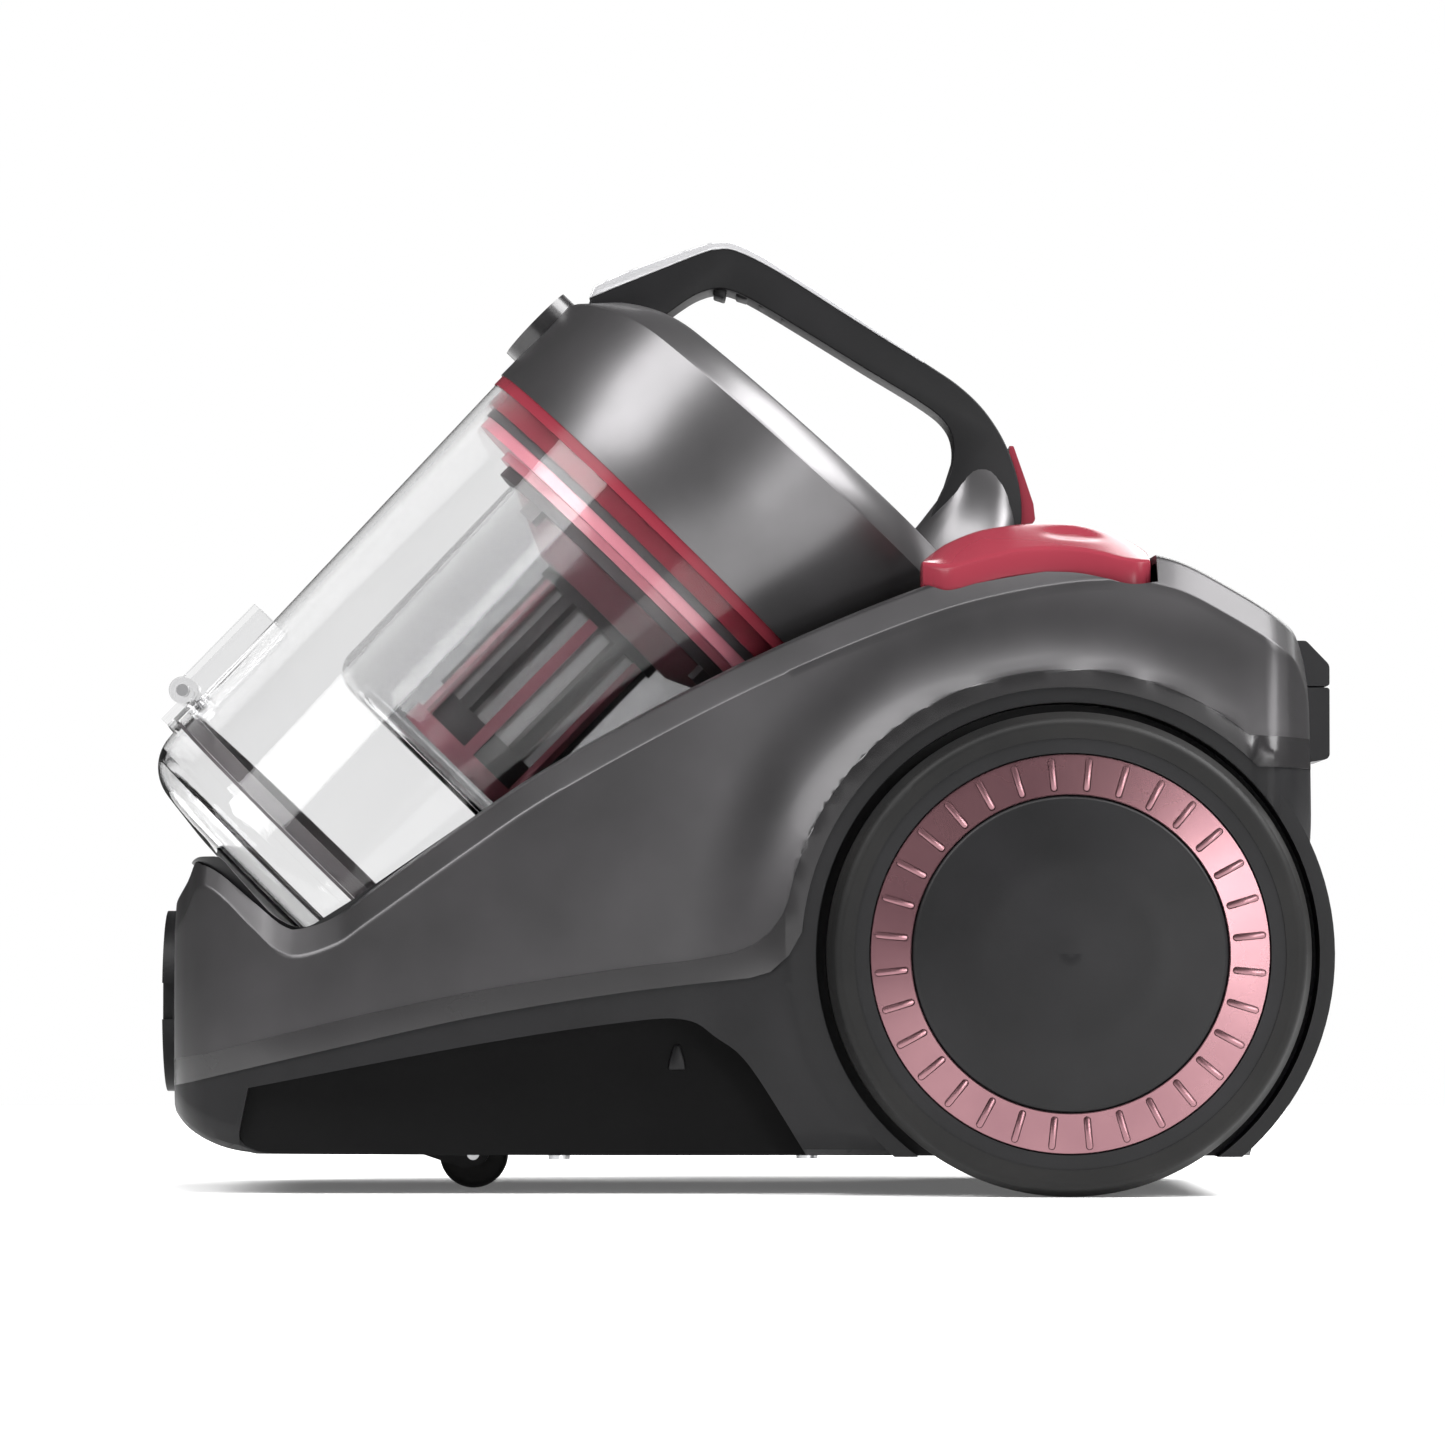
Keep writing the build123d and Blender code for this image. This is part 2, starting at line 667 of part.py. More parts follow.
with BuildPart() as bottom_lid:
    revolve(
        rounded(
            bin_section, 0,
            (0, -181, 0), (45, -180, 80), (74.5, -176, 15), (75.5, -161, 0), (78.5, -161, 0),
            (78.5, -158, 0), (73.8, -158, 0), (73, -174.5, 12.6), (44, -177.6, 78), (0, -178.6, 0),
        ),
        axis=bin_axis,
    )
    add(hinge_strap(-11, 11, -161, -149, 78, 81))
    add(bin_cylinder(73, -170, -158), mode=Mode.SUBTRACT)
    add(hinge_bore(hinge_pin_radius + running_gap), mode=Mode.SUBTRACT)
save(bottom_lid, "bottom_lid")

with BuildPart() as bottom_seal:
    extrude(tube(across(-158), 76.2, 72.5), amount=0.9)
save(bottom_seal, "bottom_seal")

with BuildPart() as cup_foot_ring:
    extrude(tube(across(-156.9), cup_foot_radius - cup_wall - 0.1, 71.5), amount=5)
save(cup_foot_ring, "cup_foot_ring")

with BuildPart() as latch:
    with BuildSketch(bin_section.offset(-9.5)):
        with BuildLine():
            Polyline((78.9, -132), (78.9, -160), (78.6, -161.3), (78.6, -163.5), (81, -163.5),
                     (81, -132), close=True)
        make_face()
    extrude(amount=19)
    with BuildSketch(bin_section):
        with Locations((latch_x, latch_z)):
            Circle(latch_pin_radius - running_gap)
    extrude(amount=12.2, both=True)
save(latch, "latch")

# ---- bin: lid, button and filter -----------------------------------------------------------------
def lid_form(inset):
    """The lid: a round drum whose top slopes up to the back, where the handle grows out of it."""
    with BuildPart() as form:
        extrude(tube(across(0), lid_radius - inset), amount=100)
        extrude(
            rounded(
                bin_section, 0,
                (-81 + inset, -10, 0), (-81 + inset, 40 - inset, 6), (-71, 48.6 - inset, 12),
                (36, 55 - inset, 60), (73, 70 - inset, 12), (100, 72 - inset, 0), (100, -10, 0),
            ),
            amount=100, both=True, mode=Mode.INTERSECT,
        )
    return form.part


button_plane = Plane(
    origin=bin_origin + bin_up * 20.7 + bin_back * -60, x_dir=(0, 1, 0), z_dir=-bin_back
)
button_radius = 14.0
lid_outside = lid_form(0)
with BuildPart() as bin_lid:
    add(lid_outside)
    add(lid_form(wall), mode=Mode.SUBTRACT)
    add(bin_cylinder(lid_radius - wall, -5, 10), mode=Mode.SUBTRACT)
    extrude(tube(button_plane, button_radius + 0.5), amount=40, mode=Mode.SUBTRACT)
    extrude(tube(lid_port_plane, lid_port_radius), amount=120, mode=Mode.SUBTRACT)
save(bin_lid, "bin_lid")

with BuildPart() as lid_base:
    extrude(tube(across(0), lid_radius - wall - 0.1, 22), amount=4)
    extrude(tube(across(cup_top), 55.5, 50), amount=-cup_top)
    # guide that the button's stem slides in
    extrude(tube(button_plane.offset(8), 10), amount=2)
    extrude(tube(button_plane, 4.2), amount=30, mode=Mode.SUBTRACT)
    with BuildSketch(button_plane.offset(8)):
        with Locations((0, 10)):
            Rectangle(8, 14)
    extrude(amount=2)
    extrude(tube(button_plane, 4.2), amount=30, mode=Mode.SUBTRACT)
save(lid_base, "lid_base")

with BuildPart() as lid_filter:
    extrude(tube(across(6), 58, 22), amount=22)
save(lid_filter, "lid_filter")

with BuildPart() as dump_button:
    extrude(tube(button_plane.offset(19.5), button_radius), amount=5.5)
    extrude(tube(button_plane.offset(7), 4), amount=13)
save(dump_button, "dump_button")



# ---- bin: separator stack, inner cup and cage ----------------------------------------------------
with BuildPart() as separator_plate:
    extrude(tube(across(-10), 77.3, 50), amount=cup_top + 10)
    extrude(tube(across(cup_top), 80.4, 56), amount=-cup_top)
save(separator_plate, "separator_plate")

with BuildPart() as separator_seal:
    extrude(tube(across(-13), 75, 66), amount=3)
save(separator_seal, "separator_seal")

with BuildPart() as cyclone_plate:
    extrude(tube(across(-17), 74, 44), amount=4)
    extrude(tube(across(-20), 61.5, 44), amount=3)
save(cyclone_plate, "cyclone_plate")

with BuildPart() as clip_ring:
    extrude(tube(across(-24), 58, 50), amount=4)
    with BuildSketch(across(-29)):
        with PolarLocations(54.6, 4, start_angle=45):
            Rectangle(3, 8)
    extrude(amount=5)
save(clip_ring, "clip_ring")

with BuildPart() as inner_cup:
    revolve(
        rounded(
            bin_section, 0,
            (50.6, -24, 0), (inner_cup_radius, -24, 0), (inner_cup_radius - 1, -110.6, 9),
            (0, -110.6, 0), (0, -108.2, 0), (49.6, -108.2, 6.6),
        ),
        axis=bin_axis,
    )
save(inner_cup, "inner_cup")

with BuildPart() as shroud:
    revolve(outline(bin_section, (20, -20), (49.8, -20), (49.8, -24.5), (29, -34), (20, -34)),
            axis=bin_axis)
save(shroud, "shroud")

with BuildPart() as cage_mesh:
    extrude(tube(across(-87), 20, 18.8), amount=49)
save(cage_mesh, "cage_mesh")

with BuildPart() as cage_frame:
    extrude(tube(across(-38), 25, 17), amount=4)
    extrude(tube(across(-97), 21.5, 17), amount=10)
    with BuildSketch(across(-87)):
        with PolarLocations(22, 6):
            Rectangle(3.6, 5)
    extrude(amount=49)
save(cage_frame, "cage_frame")

with BuildPart() as cage_ribs:
    extrude(tube(across(-104), 24.2), amount=7)
    with BuildSketch(across(-97)):
        with PolarLocations(23, 6, start_angle=30):
            Rectangle(2.4, 4)
    extrude(amount=59)
save(cage_ribs, "cage_ribs")

# ---- handle and bin release ----------------------------------------------------------------------
handle_half_width = 15.0
shell_half_width = 11.0
shell_strip = rounded(
    Plane.XZ, 0,
    (-36, 305.4, 0), (-8.5, 315.3, 9), (58, 273.5, 0), (56.4, 271, 0), (-8.6, 311.9, 6.5),
    (-34.9, 302.6, 0),
)
with BuildPart() as handle:
    extrude(
        rounded(
            Plane.XZ, 0,
            (-56, 287, 0), (-47, 301, 6), (-8.5, 315.3, 9), (77.5, 261, 26), (92.5, 234, 40),
            (91, 208, 0), (50, 208, 0), (57, 221, 20), (70, 246, 10), (60, 258.5, 12),
            (-5, 299.5, 7), (-30, 288, 0),
        ),
        amount=handle_half_width, both=True,
    )
    add(lid_outside, mode=Mode.SUBTRACT)
    # pocket for the release tab, and the seat of the top shell
    add(block((84.4, -13.5, 218.5), (110, 13.5, 247)), mode=Mode.SUBTRACT)
    extrude(shell_strip, amount=shell_half_width, both=True, mode=Mode.SUBTRACT)
save(handle, "handle")

with BuildPart() as handle_shell:
    extrude(shell_strip, amount=shell_half_width, both=True)
save(handle_shell, "handle_shell")

with BuildPart() as release_tab:
    extrude(
        rounded(
            Plane.XZ, 0,
            (88, 220, 0), (96.7, 220.8, 1.5), (96, 227, 4), (93, 236, 30), (89.4, 246.3, 0.5),
            (88, 246.3, 0),
        ),
        amount=13, both=True,
    )
save(release_tab, "release_tab")
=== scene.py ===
import json
from math import cos, exp, pi, radians, sin, sqrt

import bmesh
import bpy
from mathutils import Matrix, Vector


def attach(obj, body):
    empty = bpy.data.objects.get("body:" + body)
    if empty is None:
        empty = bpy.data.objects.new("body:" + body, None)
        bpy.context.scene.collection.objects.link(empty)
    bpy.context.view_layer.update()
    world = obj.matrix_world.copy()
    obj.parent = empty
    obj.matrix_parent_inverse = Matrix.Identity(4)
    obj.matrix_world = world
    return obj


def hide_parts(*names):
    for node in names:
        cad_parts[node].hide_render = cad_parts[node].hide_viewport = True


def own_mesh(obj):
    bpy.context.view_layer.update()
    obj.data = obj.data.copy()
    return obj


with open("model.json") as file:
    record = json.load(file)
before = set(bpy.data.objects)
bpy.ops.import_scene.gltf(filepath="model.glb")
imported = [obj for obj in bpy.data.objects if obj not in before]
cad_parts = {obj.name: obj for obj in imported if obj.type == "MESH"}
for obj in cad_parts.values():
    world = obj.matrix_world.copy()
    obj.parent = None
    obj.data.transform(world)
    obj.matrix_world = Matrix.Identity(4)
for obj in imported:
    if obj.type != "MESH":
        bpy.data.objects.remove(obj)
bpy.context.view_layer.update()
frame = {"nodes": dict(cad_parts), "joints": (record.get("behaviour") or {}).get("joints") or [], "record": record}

MM = 0.001
nodes = frame["nodes"]
scene = bpy.context.scene

# The canister vacuum cleaner: -X is the hose end, +X the cord end, +Z up. Shapes below are
# worked out in millimetres and turned into metres when their mesh is made.


# ---- small helpers -------------------------------------------------------------------------------
def tidy_normals(piece):
    """Weld doubled points and turn every face outwards."""
    cage = bmesh.new()
    cage.from_mesh(piece.data)
    bmesh.ops.remove_doubles(cage, verts=cage.verts, dist=1e-6)
    bmesh.ops.recalc_face_normals(cage, faces=cage.faces)
    cage.to_mesh(piece.data)
    cage.free()


def dress(piece, material, body, stands_for=(), angle=32, bevel=0.0, segments=2):
    """Material, rounded edges, shading and the body that the piece rides on."""
    piece.data.materials.clear()
    piece.data.materials.append(material)
    if bevel:
        round_edges(piece, bevel, segments)
    shade(piece, angle)
    if body:
        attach(piece, body)
    if stands_for:
        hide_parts(*stands_for)


def shade(piece, angle=32):
    for face in piece.data.polygons:
        face.use_smooth = True
    piece.data.set_sharp_from_angle(angle=radians(angle))


def even_normals(piece):
    """Let the large faces decide how the surface is shaded."""
    step = piece.modifiers.new("normals", "WEIGHTED_NORMAL")
    step.keep_sharp = True
    step.weight = 90


def apply_modifiers(piece):
    """Bake the piece's modifiers into its mesh."""
    graph = bpy.context.evaluated_depsgraph_get()
    mesh = bpy.data.meshes.new_from_object(piece.evaluated_get(graph))
    piece.modifiers.clear()
    piece.data = mesh


def carve(piece, cutter, how="DIFFERENCE"):
    """Boolean of a piece with a cutter, which is used up."""
    step = piece.modifiers.new("carve", "BOOLEAN")
    step.operation = how
    step.solver = "EXACT"
    step.object = cutter
    apply_modifiers(piece)
    bpy.data.objects.remove(cutter)


def round_edges(piece, width, segments=2, angle=35):
    step = piece.modifiers.new("edges", "BEVEL")
    step.width = width * MM
    step.segments = segments
    step.limit_method = "ANGLE"
    step.angle_limit = radians(angle)
    step.miter_outer = "MITER_ARC"
    step.harden_normals = False
    apply_modifiers(piece)


def loose(name, vertices, faces):
    """A mesh that only cuts others, or that is dressed later."""
    mesh = bpy.data.meshes.new(name)
    mesh.from_pydata([Vector(v) * MM for v in vertices], [], faces)
    piece = bpy.data.objects.new(name, mesh)
    scene.collection.objects.link(piece)
    tidy_normals(piece)
    return piece


def prism(name, outline, low, high, place):
    """A closed outline pushed from one depth to another; place(a, b, depth) gives the point."""
    count = len(outline)
    vertices = [place(a, b, depth) for depth in (low, high) for a, b in outline]
    faces = [list(range(count)), list(range(count, 2 * count))]
    faces += [(i, (i + 1) % count, count + (i + 1) % count, count + i) for i in range(count)]
    return loose(name, vertices, faces)


def sideways(x, z, y):
    return (x, y, z)


def circle(radius, count=128, x=0.0, z=0.0, start=0.0, end=2 * pi):
    closed = abs(end - start) > 2 * pi - 1e-6
    steps = count if closed else count - 1
    return [
        (x + radius * cos(start + (end - start) * i / steps),
         z + radius * sin(start + (end - start) * i / steps))
        for i in range(count)
    ]


def smooth_line(points, per_span=8):
    """Catmull-Rom line through the given points."""
    line = []
    ends = [points[0], *points, points[-1]]
    for k in range(1, len(ends) - 2):
        a, b, c, d = ends[k - 1], ends[k], ends[k + 1], ends[k + 2]
        for i in range(per_span):
            t = i / per_span
            line.append(tuple(
                0.5 * (2 * b[n] + (c[n] - a[n]) * t + (2 * a[n] - 5 * b[n] + 4 * c[n] - d[n]) * t * t
                       + (3 * b[n] - a[n] - 3 * c[n] + d[n]) * t ** 3)
                for n in range(2)
            ))
    line.append(tuple(points[-1]))
    return line


def height_at(line, x):
    """Height of a line of x-sorted points at x."""
    if x <= line[0][0]:
        return line[0][1]
    for (x0, z0), (x1, z1) in zip(line, line[1:]):
        if x <= x1:
            return z0 + (z1 - z0) * (x - x0) / max(x1 - x0, 1e-9)
    return line[-1][1]


# ---- the frame's own measures --------------------------------------------------------------------
joint = {j["name"]: j for j in frame["joints"]}
WHEEL_X, WHEEL_Z = (joint["wheel_left_spin"]["pos_m"][i] / MM for i in (0, 2))
BIN_UP = Vector(joint["bin_lift"]["axis"])
BIN_BACK = Vector((BIN_UP.z, 0, -BIN_UP.x))
HINGE_BACK, HINGE_UP = -82, -149
hinge = Vector(joint["bin_floor_open"]["pos_m"]) / MM - BIN_BACK * HINGE_BACK - BIN_UP * HINGE_UP
BIN_ORIGIN = Vector([round(part, 1) for part in hinge])


def in_bin(back, side, up):
    """Point given along the bin: to the back and down, across, and up its axis."""
    return tuple(BIN_ORIGIN + BIN_BACK * back + BIN_UP * up + Vector((0, side, 0)))


# ---- camera, floor and lights --------------------------------------------------------------------
CAMERA_X, CAMERA_AWAY, CAMERA_HEIGHT, AIM_HEIGHT = -0.0073, -2.6, 0.069, 0.1548


def make_camera():
    """Long lens, low and square to the side of the machine."""
    data = bpy.data.cameras.new("camera")
    data.lens = 194.3
    data.sensor_width = 36
    data.clip_end = 100
    camera = bpy.data.objects.new("camera", data)
    scene.collection.objects.link(camera)
    camera.location = (CAMERA_X, CAMERA_AWAY, CAMERA_HEIGHT)
    aim = Vector((CAMERA_X, 0, AIM_HEIGHT))
    camera.rotation_euler = (aim - camera.location).to_track_quat("-Z", "Y").to_euler()
    scene.camera = camera


def soft_light(name, place, size, power, aim=(0, 0, 0.13)):
    data = bpy.data.lights.new(name, "AREA")
    data.shape = "RECTANGLE"
    data.size, data.size_y = size
    data.energy = power
    lamp = bpy.data.objects.new(name, data)
    scene.collection.objects.link(lamp)
    lamp.location = place
    lamp.rotation_euler = (Vector(aim) - lamp.location).to_track_quat("-Z", "Y").to_euler()


def make_floor():
    """Plain pale disc under the machine."""
    rim = circle(1700, 96)
    floor = loose("floor", [(x, y, 0) for x, y in rim], [list(range(len(rim)))])
    cover = new_material("floor_cover")
    shader = cover.node_tree.nodes["Principled BSDF"]
    shader.inputs["Roughness"].default_value = 0.8
    shader.inputs["Specular IOR Level"].default_value = 0.15
    shader.inputs["Emission Color"].default_value = (1, 1, 1, 1)
    shader.inputs["Emission Strength"].default_value = 0.12
    mottle(cover, (0.85, 0.85, 0.85), (0.88, 0.88, 0.88), 4)
    floor.data.materials.append(cover)


def make_world():
    world = bpy.data.worlds.new("studio")
    world.use_nodes = True
    tree = world.node_tree
    back = tree.nodes["Background"]
    back.inputs["Color"].default_value = (1, 1, 1, 1)
    back.inputs["Strength"].default_value = 0.05
    white = tree.nodes.new("ShaderNodeBackground")
    white.inputs["Color"].default_value = (1, 1, 1, 1)
    white.inputs["Strength"].default_value = 1.0
    path = tree.nodes.new("ShaderNodeLightPath")
    pick = tree.nodes.new("ShaderNodeMixShader")
    seen = tree.nodes.new("ShaderNodeMath")
    seen.operation = "MAXIMUM"
    tree.links.new(path.outputs["Is Camera Ray"], seen.inputs[0])
    tree.links.new(path.outputs["Is Transmission Ray"], seen.inputs[1])
    tree.links.new(seen.outputs[0], pick.inputs[0])
    tree.links.new(back.outputs[0], pick.inputs[1])
    tree.links.new(white.outputs[0], pick.inputs[2])
    tree.links.new(pick.outputs[0], tree.nodes["World Output"].inputs[0])
    scene.world = world


# ---- materials -----------------------------------------------------------------------------------
def new_material(name):
    material = bpy.data.materials.new(name)
    material.use_nodes = True
    return material


def mottle(material, dark, light, scale, detail=4):
    """Base colour that drifts between two close tones."""
    tree = material.node_tree
    shader = tree.nodes["Principled BSDF"]
    place = tree.nodes.new("ShaderNodeTexCoord")
    noise = tree.nodes.new("ShaderNodeTexNoise")
    noise.inputs["Scale"].default_value = scale
    noise.inputs["Detail"].default_value = detail
    ramp = tree.nodes.new("ShaderNodeValToRGB")
    ramp.color_ramp.elements[0].position = 0.3
    ramp.color_ramp.elements[1].position = 0.7
    ramp.color_ramp.elements[0].color = (*dark, 1)
    ramp.color_ramp.elements[1].color = (*light, 1)
    tree.links.new(place.outputs["Object"], noise.inputs["Vector"])
    tree.links.new(noise.outputs["Fac"], ramp.inputs["Fac"])
    tree.links.new(ramp.outputs["Color"], shader.inputs["Base Color"])
    return place


def grain(material, place, rough, spread, scale, bump, distance=0.0002):
    """Roughness that varies a little, and the fine texture of the mould."""
    tree = material.node_tree
    shader = tree.nodes["Principled BSDF"]
    wear = tree.nodes.new("ShaderNodeTexNoise")
    wear.inputs["Scale"].default_value = 35
    wear.inputs["Detail"].default_value = 6
    span = tree.nodes.new("ShaderNodeMapRange")
    span.inputs["To Min"].default_value = rough - spread
    span.inputs["To Max"].default_value = rough + spread
    tree.links.new(place.outputs["Object"], wear.inputs["Vector"])
    tree.links.new(wear.outputs["Fac"], span.inputs["Value"])
    tree.links.new(span.outputs["Result"], shader.inputs["Roughness"])
    if bump:
        fine = tree.nodes.new("ShaderNodeTexNoise")
        fine.inputs["Scale"].default_value = scale
        fine.inputs["Detail"].default_value = 3
        relief = tree.nodes.new("ShaderNodeBump")
        relief.inputs["Strength"].default_value = bump
        relief.inputs["Distance"].default_value = distance
        tree.links.new(place.outputs["Object"], fine.inputs["Vector"])
        tree.links.new(fine.outputs["Fac"], relief.inputs["Height"])
        tree.links.new(relief.outputs["Normal"], shader.inputs["Normal"])


def solid(name, dark, light, rough, spread=0.05, scale=1500, bump=0.1, metallic=0.0, coat=0.0,
          drift=30, specular=0.5):
    material = new_material(name)
    shader = material.node_tree.nodes["Principled BSDF"]
    shader.inputs["Metallic"].default_value = metallic
    shader.inputs["Coat Weight"].default_value = coat
    shader.inputs["Coat Roughness"].default_value = 0.12
    shader.inputs["Specular IOR Level"].default_value = specular
    place = mottle(material, dark, light, drift)
    grain(material, place, rough, spread, scale, bump)
    return material


def clear(name, tint, tint_light, rough, transmission=1.0, ior=1.25, bump=0.0):
    material = new_material(name)
    shader = material.node_tree.nodes["Principled BSDF"]
    shader.inputs["Transmission Weight"].default_value = transmission
    shader.inputs["Specular IOR Level"].default_value = 0.3
    shader.inputs["IOR"].default_value = ior
    place = mottle(material, tint, tint_light, 12)
    grain(material, place, rough, rough * 0.4, 400, bump)
    return material


paint = {
    "body_graphite": solid("body_graphite", (0.032, 0.031, 0.032), (0.043, 0.041, 0.043), 0.38,
                           metallic=0.7, coat=0.08, bump=0.04, scale=2600),
    "body_black": solid("body_black", (0.0035, 0.0035, 0.0038), (0.0065, 0.0063, 0.007), 0.44,
                        bump=0.12, scale=2200, specular=0.17),
    "trim_graphite": solid("trim_graphite", (0.016, 0.0155, 0.016), (0.023, 0.022, 0.023), 0.26,
                           metallic=0.45, coat=0.25, bump=0.03),
    "tyre_black": solid("tyre_black", (0.004, 0.004, 0.004), (0.0075, 0.0072, 0.007), 0.52,
                        bump=0.2, scale=1200, specular=0.15),
    "seal_rubber": solid("seal_rubber", (0.028, 0.024, 0.026), (0.045, 0.038, 0.041), 0.55,
                         bump=0.2, scale=1100),
    "ring_pink": solid("ring_pink", (0.15, 0.072, 0.083), (0.19, 0.095, 0.106), 0.27, spread=0.03,
                       metallic=0.8, bump=0, coat=0.1),
    "clear_plastic": clear("clear_plastic", (0.86, 0.86, 0.865), (0.91, 0.91, 0.91), 0.04),
    "red_tint": clear("red_tint", (0.17, 0.020, 0.032), (0.215, 0.030, 0.044), 0.22,
                      transmission=0.25),
    "pink_plastic": solid("pink_plastic", (0.42, 0.13, 0.17), (0.50, 0.18, 0.22), 0.3,
                          bump=0.04, coat=0.2),
    "graphite_metal": solid("graphite_metal", (0.075, 0.073, 0.075), (0.095, 0.092, 0.095), 0.33,
                            metallic=0.75, bump=0.04, scale=2600, coat=0.05, spread=0.03),
    "pale_metal": solid("pale_metal", (0.40, 0.40, 0.41), (0.48, 0.48, 0.49), 0.34,
                        metallic=0.55, bump=0.05, scale=2600),
    "steel": solid("steel", (0.42, 0.42, 0.43), (0.52, 0.52, 0.53), 0.28, metallic=1.0,
                   bump=0.06, scale=900),
    "mesh_steel": solid("mesh_steel", (0.62, 0.61, 0.61), (0.72, 0.71, 0.71), 0.35, metallic=0.3,
                        bump=0.5, scale=700),
    "filter_foam": solid("filter_foam", (0.62, 0.66, 0.7), (0.74, 0.77, 0.8), 0.9, bump=0.9,
                         scale=900, drift=80),
    "inner_plastic": solid("inner_plastic", (0.03, 0.03, 0.032), (0.05, 0.05, 0.053), 0.5,
                           bump=0.15),
    "motor_iron": solid("motor_iron", (0.10, 0.095, 0.09), (0.16, 0.15, 0.14), 0.5, metallic=0.6,
                        bump=0.4, scale=500),
    "board_green": solid("board_green", (0.015, 0.12, 0.05), (0.02, 0.17, 0.07), 0.35, coat=0.4,
                         bump=0.1, scale=300),
}
# near-black with almost no sheen, laid over the recess floors as painted shade
paint["painted_shade_black"] = solid("painted_shade_black", (0.0012, 0.0012, 0.0013), (0.002, 0.002, 0.0021), 0.6,
                             bump=0.1, specular=0.08)
paint["smoke_plastic"] = clear("smoke_plastic", (0.50, 0.50, 0.505), (0.58, 0.58, 0.585), 0.08)
# the fine sieve round the cage lets most of the light through
paint["mesh_steel"].node_tree.nodes["Principled BSDF"].inputs["Alpha"].default_value = 0.25

slot_of = {part["node"]: part["material_slot"] for part in frame["record"]["subparts"]}
for node_name, node in nodes.items():
    node.data.materials.clear()
    node.data.materials.append(paint[slot_of[node_name]])

nodes["inner_cup"].data.materials[0] = paint["smoke_plastic"]
nodes["dump_button"].data.materials[0] = paint["trim_graphite"]
for hand in ("left", "right"):
    even_normals(nodes[f"wheel_rim_{hand}"])

# ---- body ----------------------------------------------------------------------------------------
FRONT, REAR = -186, 181.8
ARCH_LIP = 85.2
TRIM_RADIUS = 90.9
SKIN = 2.6
# heights at which the lower housing and the trim end at the back
LOWER_REAR, TRIM_REAR = 136, 145
# how far the sides stand out round a wheel, and over what width that fades away
FLARE, FLARE_WIDTH = 8.5, 32
BAY_RADIUS = 86.8
HOSE_RADIUS, HOSE_HEIGHT = 21, 62
WELL_INSIDE, WELL_OUTSIDE = 89, 150
# depths of the recess on either side; the far one is shallower
RECESS_SIDES = ((-1, 82), (1, 98.6))
rim_line = smooth_line([
    (-186, 94.5), (-181.6, 101), (-177.3, 109.3), (-170, 107), (-158.7, 96), (-147.2, 87),
    (-132.4, 90.3), (-120.9, 98), (-89.9, 119.8), (-62.8, 137.8), (-16.7, 163.2), (22, 181.6),
    (57.7, 195.8), (84, 203), (112, 207), (136, 205), (156, 195.5), (174, 184), (179, 177),
    (181.8, 166),
])
base_line = smooth_line([
    (-186, 26), (-180, 20), (-170, 15), (-158, 12.8), (-140, 12.5), (140, 12.5), (150, 14),
    (161, 30), (172, 60), (179, 92), (181.8, 112),
])
width_line = smooth_line([
    (-186, 55), (-184.5, 62), (-181, 69), (-174, 77), (-160, 86.5), (-140, 92.5), (-100, 99.5),
    (-70, 103.4), (-50, 104.6), (-20, 104.4), (20, 102.4), (60, 101.5), (160, 101.5), (168, 101.3),
    (172, 100), (176, 96.5), (180, 90), (181.8, 86),
])


def body_loft(grow, inset=0.0):
    """The body as one closed form, its sides flaring out round the wheel arches."""
    stations = sorted({*(-186 + 0.9 * i for i in range(14)), *(-172 + 2.4 * i for i in range(144)),
                       *(173.6 + 0.82 * i for i in range(11))})
    stations = [x for x in stations if FRONT + inset <= x <= REAR - inset]
    side_rows = 56
    vertices = []
    for x in stations:
        low = height_at(base_line, x) + inset
        high = height_at(rim_line, x) - inset
        wide = height_at(width_line, x) - inset
        half = [(0, low), (wide - 24, low), (wide - 7, low + 0.4), (wide - 2.5, low + 2.4),
                (wide - 0.6, low + 6)]
        for row in range(side_rows + 1):
            share = row / side_rows
            half.append((wide + 1.2 * sin(pi * share), low + 8 + (high - low - 18.5) * share))
        half += [(wide - 0.5, high - 9.6), (wide - 1.4, high - 8.8), (wide - 7.4, high - 1.6),
                 (wide - 8.6, high - 0.7), (wide - 10.6, high), (wide - 26, high + 0.4),
                 (wide * 0.45, high + 0.9), (0, high + 1.2)]
        flared = []
        for y, z in half:
            reach = sqrt((x - WHEEL_X) ** 2 + (z - WHEEL_Z) ** 2)
            fall = 2.6 - 1.1 * max(0, min(1, (x - 130) / 30))
            swell = 1 if reach < TRIM_RADIUS else max(0, 1 - (reach - TRIM_RADIUS) / FLARE_WIDTH) ** fall
            on_side = max(0, min(1, (y - wide + 14) / 12))
            flared.append((y + (FLARE * swell + grow) * on_side, z))
        loop = flared + [(-y, z) for y, z in flared[-2:0:-1]]
        vertices += [(x, y, z) for y, z in loop]
    return skinned("body_loft", vertices, len(vertices) // len(stations))


def skinned(name, vertices, count):
    """Closed form over equal loops of points laid one after another."""
    loops = len(vertices) // count
    faces = [list(range(count)), list(range(len(vertices) - count, len(vertices)))]
    for s in range(loops - 1):
        for i in range(count):
            j = (i + 1) % count
            faces.append((s * count + i, s * count + j, (s + 1) * count + j, (s + 1) * count + i))
    return loose(name, vertices, faces)


low_line = smooth_line([(-179.2, 36), (-130, 47.5), (-86.3, 57.2), (-40, 64.8), (1.4, 69.6)])
low_line += [(8, 71.5), (14, 77), (18.5, 85)]
high_line = smooth_line([(-173, 45.4), (-130, 56), (-86.3, 65.3), (-40, 72.5), (-19, 75), (-4, 77.5)])
high_line += [(3, 80.4), (8, 84.4), (11.6, 89.4)]


